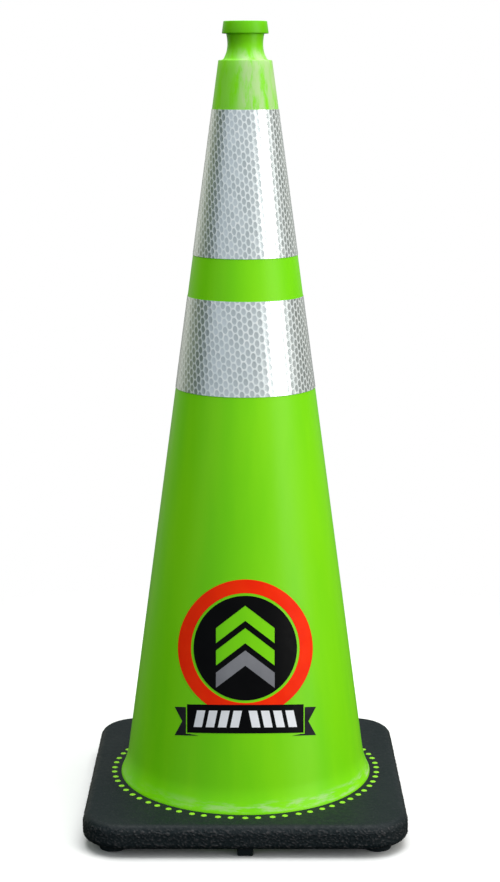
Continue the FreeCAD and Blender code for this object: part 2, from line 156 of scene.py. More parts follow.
def make_piece(name, bm, nodes, materials, sharp_over=40):
    """A named object from a bmesh, riding on the cone in place of CAD nodes."""
    mesh = bpy.data.meshes.new(name)
    bm.to_mesh(mesh)
    bm.free()
    mesh.shade_smooth()
    mesh.set_sharp_from_angle(angle=math.radians(sharp_over))
    for material in materials:
        mesh.materials.append(material)
    piece = bpy.data.objects.new(name, mesh)
    scene.collection.objects.link(piece)
    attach(piece, "root")
    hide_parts(*nodes)
    low, high = (Vector(f(v.co[i] for v in mesh.vertices) for i in range(3)) for f in (min, max))
    size = tuple(round(x / mm, 1) for x in high - low)
    print(f"{name}: {len(mesh.polygons)} faces, {size} mm, from z {low.z / mm:.1f}")
    return piece


def thicken(piece, thickness, offset, rim_slot=0):
    """Gives a thin sheet its thickness, then marks the cut edges sharp so they don't look puffy."""
    solidify = piece.modifiers.new("thickness", "SOLIDIFY")
    solidify.thickness = thickness
    solidify.offset = offset
    solidify.material_offset_rim = rim_slot
    graph = bpy.context.evaluated_depsgraph_get()
    sheet, solid = piece.data, bpy.data.meshes.new_from_object(piece.evaluated_get(graph))
    piece.modifiers.clear()
    piece.data = solid
    bpy.data.meshes.remove(sheet)
    solid.name = piece.name
    solid.set_sharp_from_angle(angle=math.radians(40))


# %% [markdown]
# ## Shader helpers
# Every finish is built from nodes on object coordinates, or on an attribute of the mesh, so that a
# pattern stays put on the piece when the view changes. Small functions keep the node code short.
# One adds a node and fills in its inputs, one makes noise at a size given in millimetres, one maps
# a value to another range, and the rest are the products, blends and bumps that finishes share.

# %% Node helpers
def add_node(tree, kind, inputs=None, **options):
    """Adds a shader node. A value that is another node's output is linked, any other is set."""
    node = tree.nodes.new(kind)
    for option, setting in options.items():
        setattr(node, option, setting)
    for name, source in (inputs or {}).items():
        if isinstance(source, bpy.types.NodeSocket):
            tree.links.new(source, node.inputs[name])
        else:
            node.inputs[name].default_value = source
    return node


def new_finish(name, **constants):
    """A material with one Principled shader, and that shader's node."""
    material = bpy.data.materials.new(name)
    material.use_nodes = True
    shader = material.node_tree.nodes["Principled BSDF"]
    for socket, number in constants.items():
        shader.inputs[socket.replace("_", " ")].default_value = number
    return material, material.node_tree, shader


def noise_at(tree, size_mm, stretch=(1, 1, 1), detail=3.0, roughness=0.5):
    """Noise on object coordinates, its grain about size_mm across and stretched along X, Y and Z."""
    place = add_node(tree, "ShaderNodeTexCoord").outputs["Object"]
    scale = tuple(1 / (size_mm * mm * each) for each in stretch)
    mapped = add_node(tree, "ShaderNodeMapping", {"Vector": place, "Scale": scale})
    texture = add_node(
        tree,
        "ShaderNodeTexNoise",
        {"Vector": mapped.outputs[0], "Scale": 1.0, "Detail": detail, "Roughness": roughness},
    )
    return texture.outputs["Fac"]


def spread(tree, source, low, high, to_low=0.0, to_high=1.0):
    """Maps a value from one range to another, held at the ends."""
    inputs = {0: source, 1: low, 2: high, 3: to_low, 4: to_high}
    return add_node(tree, "ShaderNodeMapRange", inputs, interpolation_type="SMOOTHSTEP").outputs[0]


def times(tree, first, second):
    """The product of two values."""
    return add_node(tree, "ShaderNodeMath", {0: first, 1: second}, operation="MULTIPLY").outputs[0]


def blend_colours(tree, factor, first, second):
    """A mix of two colours; each may be a colour or another node's output."""
    inputs = {0: factor, 6: first, 7: second}
    return add_node(tree, "ShaderNodeMix", inputs, data_type="RGBA").outputs[2]


def bump_of(tree, height, distance_mm, strength=1.0, under=None):
    """A normal that a height disturbs by up to distance_mm."""
    inputs = {"Height": height, "Distance": distance_mm * mm, "Strength": strength}
    if under:
        inputs["Normal"] = under
    return add_node(tree, "ShaderNodeBump", inputs).outputs["Normal"]


def side_of(tree, axis):
    """One of a point's object coordinates."""
    place = add_node(tree, "ShaderNodeTexCoord").outputs["Object"]
    return add_node(tree, "ShaderNodeSeparateXYZ", {0: place}).outputs[axis]


def height_band(tree, low, fade_in, fade_out, high):
    """1 between two levels of the piece and 0 outside them, with soft ends."""
    level = side_of(tree, "Z")
    return times(tree, spread(tree, level, low, fade_in), spread(tree, level, fade_out, high, 1.0, 0.0))


# %% [markdown]
# ## The lime finish
# The cone is moulded in flexible PVC: a strong lime colour right through, glossy but not mirror
# smooth. A flat colour would look like a toy, so three things break it up. The tone drifts a
# little in tall soft streaks, as the plastic flowed in the mould. The surface is very slightly
# uneven. And pale painted highlights, standing for the softboxes' reflections, lie on the shoulder
# and the foot of the neck, and round the cone's own foot, more to the right than to the left. The
# cap is painted a shade darker, as painted shade, and the peg ends in the base, which wheels and
# boots reach, have faded towards yellow.

# %% Lime PVC
def lime_pvc():
    """Glossy lime plastic, streaked, with painted highlights on the shoulder and foot and painted shade
    on the cap.
    """
    material, tree, shader = new_finish("lime_finish", Specular_IOR_Level=0.20)
    place = add_node(tree, "ShaderNodeTexCoord").outputs["Object"]
    streaks = noise_at(tree, 55, stretch=(1, 1, 9), detail=4)
    lime = blend_colours(
        tree, spread(tree, streaks, 0.3, 0.7), (0.174, 0.672, 0.001, 1), (0.228, 0.726, 0.002, 1)
    )
    # Painted highlights on the shoulder and the foot of the neck: pale streaky patches that stand for
    # the softboxes' reflections, stronger towards the right, where the light is.
    shoulder = height_band(tree, crown - 106 * mm, crown - 100 * mm, crown - 38 * mm, crown - 26 * mm)
    shoulder_highlight = spread(tree, noise_at(tree, 11, stretch=(1, 1, 5), detail=6, roughness=0.65), 0.36, 0.60)
    shoulder_highlight = times(tree, shoulder_highlight, spread(tree, side_of(tree, "X"), -14 * mm, 1 * mm, 0.18, 1.0))
    # Painted highlights round the cone's foot, standing for the overhead softbox's reflection on the
    # flare, weaker towards the left.
    foot = height_band(tree, deck + 1 * mm, deck + 3 * mm, deck + 7 * mm, deck + 16 * mm)
    foot_highlight = spread(tree, noise_at(tree, 34, stretch=(1, 1, 0.2), detail=7, roughness=0.65), 0.44, 0.64)
    foot_highlight = times(tree, foot_highlight, spread(tree, side_of(tree, "X"), -0.12, 0.06, 0.25, 1.0))
    painted_highlights = add_node(
        tree,
        "ShaderNodeMath",
        {0: times(tree, shoulder, shoulder_highlight), 1: times(tree, foot, foot_highlight)},
        operation="ADD",
        use_clamp=True,
    ).outputs[0]
    # Painted shade: the cap is painted a shade darker than the rest of the moulding.
    cap = spread(tree, side_of(tree, "Z"), cap_bottom - 2 * mm, cap_bottom + 1 * mm, 0.0, 0.75)
    cap_shaded = blend_colours(tree, cap, lime, (0.105, 0.46, 0.001, 1))
    # The painted highlights mix in a pale, whitish lime.
    highlighted = blend_colours(tree, times(tree, painted_highlights, 0.74), cap_shaded, (0.48, 0.62, 0.33, 1))
    flat = add_node(tree, "ShaderNodeVectorMath", {0: place, 1: (1, 1, 0)}, operation="MULTIPLY")
    reach = add_node(tree, "ShaderNodeVectorMath", {0: flat.outputs[0]}, operation="LENGTH")
    outside = spread(tree, reach.outputs["Value"], foot_radius + 1 * mm, foot_radius + 3 * mm, 0.0, 0.7)
    faded = blend_colours(tree, outside, highlighted, (0.30, 0.58, 0.04, 1))
    tree.links.new(faded, shader.inputs["Base Color"])
    gloss = spread(tree, noise_at(tree, 30, stretch=(1, 1, 3), detail=5), 0.3, 0.7, 0.33, 0.42)
    tree.links.new(gloss, shader.inputs["Roughness"])
    waves = bump_of(tree, noise_at(tree, 40, stretch=(1, 1, 4), detail=2), 0.35)
    skin = bump_of(tree, noise_at(tree, 1.6, detail=3), 0.012, under=waves)
    tree.links.new(skin, shader.inputs["Normal"])
    return material


lime = lime_pvc()
print("finish:", lime.name)

# %% [markdown]
# ## The lime moulding
# Skirt, head and flange are one hollow moulding with a wall of even thickness, open at both ends.
# The real one is dipped or injected round a core, so it is round everywhere: a section turned about
# the upright axis makes it in one go, with true wall thickness, and the inside is there when the
# cone is seen from below or down through its mouth. The section is drawn once round, from the
# inside of the foot up to the roof, out through the mouth, over the cap and neck and down the side.

# %% Draw the section and turn it
turn_steps = 192
neck_height = 29 * mm
waist_radius = 20 * mm
waist_drop = 25.4 * mm
neck_spread = 5.3 * mm
cap_spread = 1.4 * mm
rim_round = 0.8 * mm
crease_round = 0.7 * mm
neck_round = 2.6 * mm

ledge = cap_bottom - neck_height
roof = ledge - wall
mouth_radius = waist_radius - wall
waist = Vector((waist_radius, 0, crown - waist_drop))
neck_root = Vector((waist_radius + neck_spread, 0, ledge))
cap_root = Vector((waist_radius + cap_spread, 0, cap_bottom))
sideways = Vector((1, 0, 0))
off_taper = Vector((math.cos(slope), 0, math.sin(slope)))


def draw_flare(bm, tip, inset, steps=14):
    """The foot's flare, from the taper out to the deck; inset draws it a wall further in."""
    start = Vector((side_radius(flare_top) - inset, 0, flare_top))
    end = Vector((foot_radius - inset, 0, deck))
    centre = centre_beside(start, off_taper, end)
    upwards = tip.co.z < flare_top - 1 * mm
    target = start if upwards else end
    return swing_to(bm, tip, centre, target.x, target.z, steps)


bm = bmesh.new()
inner_foot = foot_radius - wall
start = bm.verts.new((inner_foot, 0, slab_bottom))
tip = line_to(bm, start, inner_foot, deck)
tip = draw_flare(bm, tip, wall)
tip = roof_edge = line_to(bm, tip, side_radius(roof) - wall, roof, steps=24)
tip = mouth_foot = line_to(bm, tip, mouth_radius, roof)
tip = mouth_rim = line_to(bm, tip, mouth_radius, crown)
tip = crown_rim = line_to(bm, tip, crown_radius, crown)
tip = cap_edge = line_to(bm, tip, side_radius(cap_bottom), cap_bottom)
tip = cap_fillet = line_to(bm, tip, cap_root.x, cap_root.z)
tip = swing_to(bm, tip, centre_beside(waist, sideways, cap_root), waist.x, waist.z, 6)
tip = neck_fillet = swing_to(bm, tip, centre_beside(waist, sideways, neck_root), *neck_root.xz, 10)
tip = ledge_edge = line_to(bm, tip, side_radius(ledge), ledge)
tip = line_to(bm, tip, side_radius(flare_top), flare_top, steps=72)
tip = draw_flare(bm, tip, 0)
tip = line_to(bm, tip, foot_radius, flange_top)
tip = line_to(bm, tip, flange_radius, flange_top)
tip = line_to(bm, tip, flange_radius, slab_bottom)
line_to(bm, tip, inner_foot, slab_bottom)

round_corners(bm, [mouth_rim, crown_rim], rim_round)
round_corners(bm, [cap_edge, roof_edge, mouth_foot], rim_round)
round_corners(bm, [cap_fillet, ledge_edge], crease_round)
round_corners(bm, [neck_fillet], neck_round, segments=6)
bmesh.ops.spin(
    bm, geom=bm.verts[:] + bm.edges[:], cent=(0, 0, 0), axis=(0, 0, 1),
    angle=2 * math.pi, steps=turn_steps, use_merge=True,
)
close_up(bm)
print("moulding's open edges:", sum(edge.is_boundary for edge in bm.edges))

# %% [markdown]
# The moulding is locked to the base by a ring of pegs that rise from its flange through the black
# base and end at the deck, where they show as small lime dots. One peg is a tiny turned shape with
# a soft top. A second is turned a few degrees round from it, and the pair is repeated round the
# ring with the same spin operator that turned the section, this time making copies. The ring of
# pegs then joins the moulding's bmesh, by way of a mesh that carries it across.

# %% Add the ring of pegs
peg_ring = foot_radius + 8.1 * mm
peg_radius = 3.6 * mm
peg_softness = 0.5 * mm
peg_proud = 0.3 * mm
peg_pairs = 32
peg_pair_angle = math.radians(5.25)
peg_sides = 14


def draw_peg(bm):
    """One peg on the axis, from inside the flange to just over the deck."""
    foot = bm.verts.new((peg_radius, 0, flange_top - 1 * mm))
    tip = line_to(bm, foot, peg_radius, deck - 0.4 * mm)
    tip = line_to(bm, tip, peg_radius - peg_softness, deck + 0.1 * mm)
    tip = line_to(bm, tip, 0, deck + peg_proud)
    line_to(bm, foot, 0, foot.co.z)
    bmesh.ops.spin(
        bm, geom=bm.verts[:] + bm.edges[:], cent=(0, 0, 0), axis=(0, 0, 1),
        angle=2 * math.pi, steps=peg_sides, use_merge=True,
    )
    bmesh.ops.remove_doubles(bm, verts=bm.verts, dist=0.01 * mm)


def join_into(target, source):
    """Adds one bmesh to another and frees it."""
    bmesh.ops.recalc_face_normals(source, faces=source.faces)
    carrier = bpy.data.meshes.new("carrier")
    source.to_mesh(carrier)
    source.free()
    target.from_mesh(carrier)
    bpy.data.meshes.remove(carrier)


pegs = bmesh.new()
draw_peg(pegs)
bmesh.ops.translate(pegs, vec=(0, -peg_ring, 0), verts=pegs.verts)
for angle, copies in ((peg_pair_angle, 1), (2 * math.pi / peg_pairs, peg_pairs - 1)):
    bmesh.ops.spin(
        pegs, geom=pegs.verts[:] + pegs.edges[:] + pegs.faces[:], cent=(0, 0, 0), axis=(0, 0, 1),
        angle=angle * copies, steps=copies, use_duplicate=True,
    )
join_into(bm, pegs)
make_piece("lime_moulding", bm, ["cone_body"], [lime])

# %% [markdown]
# ## The black finish
# The base is heavy recycled PVC, close to black. Its top was flat against a smooth plate of the
# mould and keeps a faint sheen and a fine sandy grain. Its sides are coarser. One material serves
# both: a fine bump over a slow drift from blue-black to a softer black. An attribute on the sides'
# vertices says how high their grain stands, and the peaks, rubbed first, are greyer.

# %% Black PVC
def black_pvc():
    """Sandy black plastic whose raised grain has gone grey."""
    material, tree, shader = new_finish("black_finish", Specular_IOR_Level=0.22)
    drift = noise_at(tree, 60, detail=4)
    grains = noise_at(tree, 1.1, detail=2)
    black = blend_colours(
        tree, spread(tree, drift, 0.35, 0.65), (0.002, 0.007, 0.009, 1), (0.005, 0.010, 0.012, 1)
    )
    speckled = blend_colours(tree, spread(tree, grains, 0.55, 0.75), black, (0.024, 0.028, 0.029, 1))
    worn = add_node(tree, "ShaderNodeAttribute", attribute_name="grain").outputs["Fac"]
    worn = spread(tree, worn, 0.45, 1.15, 0.0, 0.9)
    rubbed = blend_colours(tree, worn, speckled, (0.050, 0.048, 0.050, 1))
    tree.links.new(rubbed, shader.inputs["Base Color"])
    dullness = spread(tree, noise_at(tree, 6, detail=5), 0.35, 0.65, 0.52, 0.66)
    tree.links.new(dullness, shader.inputs["Roughness"])
    pores = bump_of(tree, noise_at(tree, 2.2, detail=4, roughness=0.6), 0.10)
    sand = bump_of(tree, grains, 0.05, under=pores)
    tree.links.new(sand, shader.inputs["Normal"])
    return material


black = black_pvc()
print("finish:", black.name)

# %% [markdown]
# ## The base
# The slab is square with well-rounded corners, a round shoulder on top and a smaller one below.
# Its sides carry a coarse leathery grain that is deep enough to break the outline, so it has to be
# real geometry. The side is therefore swept as its own fine band: a short section goes along one
# side and round one corner, four times, with the spin operator doing both, because a spin by no
# angle with an offset is a straight sweep. Then every vertex of the band is pushed along its normal
# by a few noise waves, fading out before the flat deck, and the flat faces are filled in afterwards.

# %% Sweep the side of the slab
corner_radius = 48 * mm
top_round = 10 * mm
bottom_round = 7 * mm
grain_step = 1.0 * mm
straight_half = base_half - corner_radius

bm = bmesh.new()
tip = bm.verts.new((base_half - top_round, 0, deck))
tip = swing_to(
    bm, tip, Vector((base_half - top_round, 0, deck - top_round)), base_half, deck - top_round, 16
)
tip = line_to(bm, tip, base_half, slab_bottom + bottom_round, steps=11)
under_round = Vector((base_half - bottom_round, 0, slab_bottom + bottom_round))
swing_to(bm, tip, under_round, under_round.x, slab_bottom, 11)
bmesh.ops.translate(bm, vec=(0, -straight_half, 0), verts=bm.verts)

section = bm.verts[:] + bm.edges[:]
along = round(2 * straight_half / grain_step)
about = round(math.pi / 2 * corner_radius / grain_step)
for quarter in range(4):
    turned = Matrix.Rotation(quarter * math.pi / 2, 3, "Z")
    step = turned @ Vector((0, 2 * straight_half / along, 0))
    section = bmesh.ops.spin(
        bm, geom=section, cent=(0, 0, 0), axis=(0, 0, 1), angle=0, steps=along, dvec=step
    )["geom_last"]
    corner = turned @ Vector((straight_half, straight_half, 0))
    section = bmesh.ops.spin(
        bm, geom=section, cent=corner, axis=(0, 0, 1), angle=math.pi / 2, steps=about
    )["geom_last"]
close_up(bm, gap=0.05 * mm)
print("slab's side:", len(bm.faces), "faces, rims of", sum(e.is_boundary for e in bm.edges), "edges")

# %% [markdown]
# The grain mixes two sizes of noise. The larger gives the leathery swellings, a few millimetres
# across, lower than they are wide and slightly slanted, and the smaller roughens them.

# %% Press the grain into the side
grain_depth = 0.80 * mm
grain_size = 2.6 * mm
grain_flatness = 1.7
grain_slant = 0.35


def fade(value, low, high):
    """0 below low, 1 above high, and a soft step between; it works downwards too."""
    share = min(1.0, max(0.0, (value - low) / (high - low)))
    return share * share * (3 - 2 * share)


bm.normal_update()
peaks = bm.verts.layers.float.new("grain")
pushes = []
for vertex in bm.verts:
    place = vertex.co / grain_size
    climb = grain_slant * (place.x + place.y)
    slanted = Vector((place.x, place.y, place.z * grain_flatness + climb))
    height = noise.noise(slanted) + 0.5 * noise.noise(slanted * 2.1 + Vector((7, 3, 1)))
    depth = fade(vertex.co.z, deck - 0.5 * mm, deck - 5 * mm)
    depth *= fade(vertex.co.z, slab_bottom + 0.2 * mm, slab_bottom + 2 * mm)
    pushes.append((vertex, vertex.normal * grain_depth * depth * (height - 0.35)))
    vertex[peaks] = depth * (0.5 + height)
for vertex, push in pushes:
    vertex.co += push
print(f"deepest grain {max(push.length for _, push in pushes) / mm:.2f} mm")

# %% [markdown]
# The deck is one flat face with a hole for the cone and 64 small ones for the pegs. Circles are
# drawn for the holes and one fill makes the face around them all. The rims are then pulled down
# through the slab, and the underside is filled the same way, with the rebate that takes the flange.

# %% Fill the deck, the holes and the underside
clearance = 0.1 * mm
rebate_top = flange_top + clearance


def circle_edges(bm, radius, segments, place):
    """A circle of edges about an upright axis through a place."""
    made = bmesh.ops.create_circle(
        bm, segments=segments, radius=radius, matrix=Matrix.Translation(place)
    )["verts"]
    return list({edge for vertex in made for edge in vertex.link_edges})


def pull_down(bm, edges, level):
    """Pulls rims straight down to a level and gives their new edges."""
    made = bmesh.ops.extrude_edge_only(bm, edges=edges)["geom"]
    low = [item for item in made if isinstance(item, bmesh.types.BMVert)]
    for vertex in low:
        vertex.co.z = level
    corners = set(low)
    return [e for e in made if isinstance(e, bmesh.types.BMEdge) and set(e.verts) <= corners]


def fill_flat(bm, edges):
    """Fills level rims with one flat face of triangles, round any holes."""
    bmesh.ops.triangle_fill(bm, use_beauty=True, edges=edges, normal=(0, 0, 1))


rims = [edge for edge in bm.edges if edge.is_boundary]
deck_rim = [edge for edge in rims if edge.verts[0].co.z > deck - 1 * mm]
under_rim = [edge for edge in rims if edge.verts[0].co.z < slab_bottom + 1 * mm]
holes = circle_edges(bm, foot_radius + clearance, turn_steps, (0, 0, deck))
for number in range(peg_pairs):
    for turned in (0, peg_pair_angle):
        angle = number * 2 * math.pi / peg_pairs + turned
        place = (peg_ring * math.sin(angle), -peg_ring * math.cos(angle), deck)
        holes += circle_edges(bm, peg_radius + clearance, peg_sides, place)
fill_flat(bm, deck_rim + holes)
hole_feet = pull_down(bm, holes, rebate_top)
rebate = circle_edges(bm, flange_radius + clearance, turn_steps, (0, 0, rebate_top))
fill_flat(bm, hole_feet + rebate)
rebate_foot = pull_down(bm, rebate, slab_bottom)
fill_flat(bm, under_rim + rebate_foot)
close_up(bm, gap=0.005 * mm)
print("slab's open edges:", sum(edge.is_boundary for edge in bm.edges))

# %% [markdown]
# The slab stands on eight low feet moulded with it: a block under the middle of each side and a
# round-ended bar pointing at each corner. Each kind is made once, softened along its lower edge,
# and copied round the base. They start a little inside the slab, so no gap can show.

# %% Add the feet
foot_sink = 1 * mm
foot_round = 2 * mm
block_width = 18 * mm
block_depth = 12 * mm
block_inset = 8.2 * mm
bar_radius = 16 * mm
bar_reach = 3 * mm
bar_inset = 14 * mm
bar_sides = 28


def soften_feet(bm):
    """Rounds the edges round the sole of a foot."""
    low = min(vertex.co.z for vertex in bm.verts)
    sole = [e for e in bm.edges if all(vertex.co.z < low + 0.1 * mm for vertex in e.verts)]
    bmesh.ops.bevel(
        bm, geom=sole, offset=foot_round, segments=4, profile=0.5, affect="EDGES", material=-1
    )


def copy_round(bm, copies=4):
    """Repeats everything in a bmesh evenly round the cone's axis."""
    bmesh.ops.spin(
        bm, geom=bm.verts[:] + bm.edges[:] + bm.faces[:], cent=(0, 0, 0), axis=(0, 0, 1),
        angle=2 * math.pi * (copies - 1) / copies, steps=copies - 1, use_duplicate=True,
    )


foot_tall = slab_bottom + foot_sink - foot_level
block = bmesh.new()
bmesh.ops.create_cube(block, size=1)
bmesh.ops.scale(block, vec=(block_width, block_depth, foot_tall), verts=block.verts)
block_middle = -(base_half - block_inset - block_depth / 2)
bmesh.ops.translate(block, vec=(0, block_middle, foot_level + foot_tall / 2), verts=block.verts)
uprights = [e for e in block.edges if abs(e.verts[0].co.z - e.verts[1].co.z) > 1 * mm]
bmesh.ops.bevel(
    block, geom=uprights, offset=1.5 * mm, segments=3, profile=0.5, affect="EDGES", material=-1
)
soften_feet(block)
copy_round(block)
join_into(bm, block)

bar = bmesh.new()
to_corner = straight_half * math.sqrt(2) + corner_radius - bar_inset - bar_radius - bar_reach
bmesh.ops.create_circle(
    bar, cap_ends=True, segments=bar_sides, radius=bar_radius,
    matrix=Matrix.Translation((0, 0, foot_level)) @ Matrix.Rotation(math.pi / bar_sides, 4, "Z"),
)
for vertex in bar.verts:
    vertex.co.x += math.copysign(bar_reach, vertex.co.x)
raised = bmesh.ops.extrude_face_region(bar, geom=bar.faces[:])["geom"]
bmesh.ops.translate(
    bar, vec=(0, 0, foot_tall), verts=[v for v in raised if isinstance(v, bmesh.types.BMVert)]
)
soften_feet(bar)
bmesh.ops.translate(bar, vec=(to_corner, 0, 0), verts=bar.verts)
bmesh.ops.rotate(bar, cent=(0, 0, 0), matrix=Matrix.Rotation(math.pi / 4, 3, "Z"), verts=bar.verts)
copy_round(bar)
join_into(bm, bar)
make_piece("black_base", bm, ["base", "base_feet"], [black])

# %% [markdown]
# ## The reflective finish
# The collars are prismatic sheeting: a clear glossy face over a layer of tiny metallised corner
# cubes, welded to its backing along a net of white lines. By day the cells look like brushed
# silver and the net almost white. The sheeting needs three materials: the cells, whose tone differs
# a little from one to the next, the net between them, and the dull cut edge of the film.

# %% Reflective sheeting
def silver_cells():
    """Brushed silver under a clear coat, each cell in its own tone."""
    material, tree, shader = new_finish(
        "silver_cells", Metallic=0.85, Roughness=0.30, Coat_Weight=0.5, Coat_Roughness=0.12
    )
    tone = add_node(tree, "ShaderNodeAttribute", attribute_name="tone").outputs["Fac"]
    silver = blend_colours(tree, tone, (0.56, 0.61, 0.63, 1), (0.74, 0.79, 0.82, 1))
    prisms = spread(tree, noise_at(tree, 0.9, detail=2), 0.35, 0.65, 0.0, 0.35)
    sparkling = blend_colours(tree, prisms, silver, (0.70, 0.74, 0.74, 1))
    tree.links.new(sparkling, shader.inputs["Base Color"])
    facets = bump_of(tree, noise_at(tree, 0.8, detail=1), 0.03)
    tree.links.new(facets, shader.inputs["Normal"])
    return material


def white_net():
    """The pale, half metallic weld lines between the cells."""
    material, tree, shader = new_finish(
        "white_net", Metallic=0.35, Roughness=0.32, Coat_Weight=0.6, Coat_Roughness=0.10
    )
    mottle = noise_at(tree, 5, detail=4)
    white = blend_colours(
        tree, spread(tree, mottle, 0.3, 0.7), (0.78, 0.84, 0.85, 1), (0.90, 0.93, 0.93, 1)
    )
    tree.links.new(white, shader.inputs["Base Color"])
    return material


def cut_edge():
    """The dull grey layers that show where the film is cut."""
    material, tree, shader = new_finish("cut_edge", Roughness=0.6)
    layers = noise_at(tree, 2, stretch=(1, 1, 0.1), detail=3)
    grey = blend_colours(tree, layers, (0.16, 0.17, 0.15, 1), (0.36, 0.37, 0.34, 1))
    tree.links.new(grey, shader.inputs["Base Color"])
    return material


sheeting = [silver_cells(), white_net(), cut_edge()]
print("finishes:", [material.name for material in sheeting])

# %% [markdown]
# ## The collars
# Each collar was cut from a flat roll and wrapped round the taper, so its honeycomb is straight on
# the flat sheet and leans more and more towards the back once wrapped. Drawing it the same way
# gives that for free. One stretched hexagon is made, copied into a lattice on the flat pattern of
# the cone, inset to leave the net, and its cell sunk a tenth of a millimetre. The sheet is trimmed
# along two radii, rolled up, trimmed level at top and bottom, and given its thickness.

# %% Lay out the flat honeycomb
film = 0.45 * mm
sheet_thickness = 0.3 * mm
net_half = 0.5 * mm
cell_sink = 0.10 * mm
cell_share = (0.92, 0.86)
net_tilt = math.radians(6)
half_sine = math.sin(slope)
apex = crown + crown_radius / taper
lap = math.radians(9)
lap_climb = math.radians(4)


def copy_along(bm, step, copies):
    """Copies everything in a bmesh along a straight step."""
    bmesh.ops.spin(
        bm, geom=bm.verts[:] + bm.edges[:] + bm.faces[:], cent=(0, 0, 0), axis=(0, 0, 1),
        angle=0, steps=copies, dvec=step, use_duplicate=True,
    )


def lay_honeycomb(column, pitch, width, height):
    """A sheet of stretched hexagons about the origin, at least width by height."""
    bm = bmesh.new()
    bmesh.ops.create_circle(
        bm, cap_ends=True, segments=6, radius=1, matrix=Matrix.Rotation(math.radians(30), 4, "Z")
    )
    across, tall = column * 2 / 3, pitch / 2 / math.sin(math.radians(60))
    bmesh.ops.scale(bm, vec=(across, tall, 1), verts=bm.verts)
    rows, columns = math.ceil(height / pitch), math.ceil(width / column / 2)
    copy_along(bm, (0, pitch, 0), rows)
    copy_along(bm, (column, pitch / 2, 0), 1)
    copy_along(bm, (2 * column, 0, 0), columns)
    bmesh.ops.remove_doubles(bm, verts=bm.verts, dist=0.01 * mm)
    bmesh.ops.translate(bm, vec=(-columns * column, -rows * pitch / 2, 0), verts=bm.verts)
    return bm


def sink_cells(bm, column, pitch, seed):
    """Insets every hexagon, rounds and sinks the cell inside it, and gives each cell its tone."""
    bmesh.ops.subdivide_edges(bm, edges=bm.edges[:], cuts=1)
    tone = bm.faces.layers.float.new("tone")
    cells = bm.faces[:]
    bmesh.ops.inset_individual(bm, faces=cells, thickness=net_half)
    draw = random.Random(seed)
    for face in bm.faces:
        face.material_index = 1
    for cell in cells:
        cell.material_index = 0
        cell[tone] = draw.random() ** 1.5
        middle = cell.calc_center_bounds()
        for vertex in cell.verts:
            arm = vertex.co - middle
            angle = math.atan2(arm.y / pitch, arm.x / column)
            reach_x = column * cell_share[0] / 2 * math.cos(angle)
            reach_y = pitch * cell_share[1] / 2 * math.sin(angle)
            vertex.co = middle + Vector((reach_x, reach_y, -cell_sink))


# %% [markdown]
# On the flat pattern a point's distance from the apex is its slant distance on the cone, and its
# angle is the angle round the cone times the sine of the taper. Rolling up undoes both. The end
# that laps over at the back climbs onto the other by one film's thickness.

# %% Roll the sheet up and trim it
def cut_away(bm, point, outward, gap=0.0):
    """Cuts through everything at a plane and removes what is on its outward side."""
    bmesh.ops.bisect_plane(
        bm, geom=bm.verts[:] + bm.edges[:] + bm.faces[:], dist=gap,
        plane_co=point, plane_no=outward, clear_outer=True,
    )


def roll_up(bm):
    """Wraps a flat sheet, drawn about the apex with the front along -Y, round the taper."""
    for vertex in bm.verts:
        slant = vertex.co.xy.length
        angle = math.atan2(vertex.co.x, -vertex.co.y) / half_sine
        climb = film * fade(angle, math.pi - lap_climb, math.pi)
        radius = slant * half_sine + (film + climb + vertex.co.z) * math.cos(slope)
        rise = (film + climb + vertex.co.z) * half_sine
        vertex.co = Vector((
            radius * math.sin(angle),
            -radius * math.cos(angle),
            apex - slant * math.cos(slope) + rise,
        ))


def make_collar(name, node, column, pitch, seed):
    """Cuts a collar from a flat honeycomb, rolls it up and trims it to its node's levels."""
    low, high = (corner.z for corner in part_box(node))
    near, far = ((apex - z) / math.cos(slope) for z in (high, low))
    ends = (-math.pi * half_sine, (math.pi + lap) * half_sine)
    width = 2 * far * math.sin(ends[1]) + 10 * column
    height = far - near * math.cos(ends[1]) + 6 * pitch
    bm = lay_honeycomb(column, pitch, width * 1.1, height * 1.3)
    sink_cells(bm, column, pitch, seed)
    bmesh.ops.rotate(bm, cent=(0, 0, 0), matrix=Matrix.Rotation(net_tilt, 3, "Z"), verts=bm.verts)
    bmesh.ops.translate(bm, vec=(0, -(near * math.cos(ends[1]) + far) / 2, 0), verts=bm.verts)
    for end, side in zip(ends, (-1, 1)):
        cut_away(bm, (0, 0, 0), (side * math.cos(end), side * math.sin(end), 0))
    roll_up(bm)
    cut_away(bm, (0, 0, high), (0, 0, 1))
    cut_away(bm, (0, 0, low), (0, 0, -1))
    bmesh.ops.dissolve_degenerate(bm, edges=bm.edges, dist=0.01 * mm)
    piece = make_piece(name, bm, [node], sheeting)
    thicken(piece, sheet_thickness, offset=-1, rim_slot=2)


make_collar("wide_collar", "upper_collar", 4.8 * mm, 9.1 * mm, seed=1)
make_collar("narrow_collar", "lower_collar", 5.7 * mm, 9.2 * mm, seed=2)

# %% [markdown]
# ## The vinyl finishes
# The emblem is cut from thin vinyl in five colours. Cut vinyl has a satin face, a little orange
# peel from the cone underneath, and a colour that is even but never perfectly flat. One function
# makes all five finishes, because only the two tones that each drifts between differ.

# %% Vinyl
vinyl_tones = {
    "red_vinyl": ((0.95, 0.022, 0.001, 1), (1.00, 0.032, 0.001, 1)),
    "black_vinyl": ((0.001, 0.001, 0.0015, 1), (0.002, 0.002, 0.0025, 1)),
    "grey_vinyl": ((0.195, 0.195, 0.215, 1), (0.235, 0.235, 0.255, 1)),
    "charcoal_vinyl": ((0.013, 0.013, 0.016, 1), (0.020, 0.020, 0.024, 1)),
    "white_vinyl": ((0.80, 0.80, 0.84, 1), (0.88, 0.88, 0.92, 1)),
}


